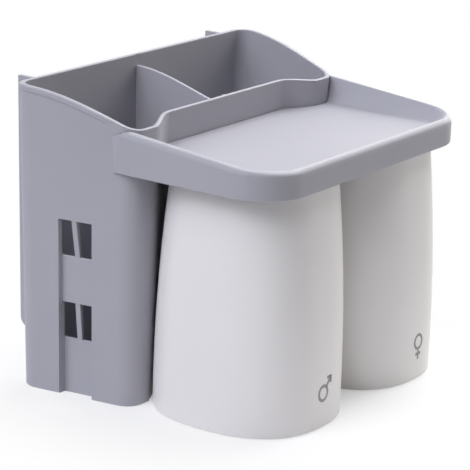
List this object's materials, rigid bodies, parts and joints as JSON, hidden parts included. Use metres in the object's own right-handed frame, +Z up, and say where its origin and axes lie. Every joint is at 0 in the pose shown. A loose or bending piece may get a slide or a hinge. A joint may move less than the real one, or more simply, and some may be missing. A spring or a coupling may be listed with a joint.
{
  "type": "toothbrush holder",
  "caption": "Moulded box with a divided upper compartment and a lipped front tray, from which oval cups hang mouth down on magnets.",
  "frame": {"origin": "middle of the footprint, on the plane that the box stands on", "axes": "+X to the right of someone facing the holder, +Y towards the wall behind it, +Z up"},
  "size_m": [0.1616, 0.1362, 0.1298],
  "materials": {
    "grey_plastic": "satin moulded grey with a lavender cast",
    "white_plastic": "smooth warm white",
    "magnet_nickel": "nickel plated",
    "disc_steel": "plain sheet"
  },
  "bodies": {
    "holder": {"holder_body": "grey_plastic", "divider": "grey_plastic", "front_tray": "grey_plastic", "tray_magnet_left": "magnet_nickel", "tray_magnet_right": "magnet_nickel", "magnet_cap_left": "grey_plastic", "magnet_cap_right": "grey_plastic"},
    "cup_left": {"cup_left": "white_plastic", "cup_disc_left": "disc_steel", "cup_base_cap_left": "white_plastic"},
    "cup_right": {"cup_right": "white_plastic", "cup_disc_right": "disc_steel", "cup_base_cap_right": "white_plastic"}
  },
  "joints": [
    {"name": "cup_left_slide", "type": "slide", "parent": "holder", "child": "cup_left", "axis": [0, 0, -1], "range_m": [0, 0.11]},
    {"name": "cup_right_slide", "type": "slide", "parent": "holder", "child": "cup_right", "axis": [0, 0, -1], "range_m": [0, 0.11]}
  ]
}
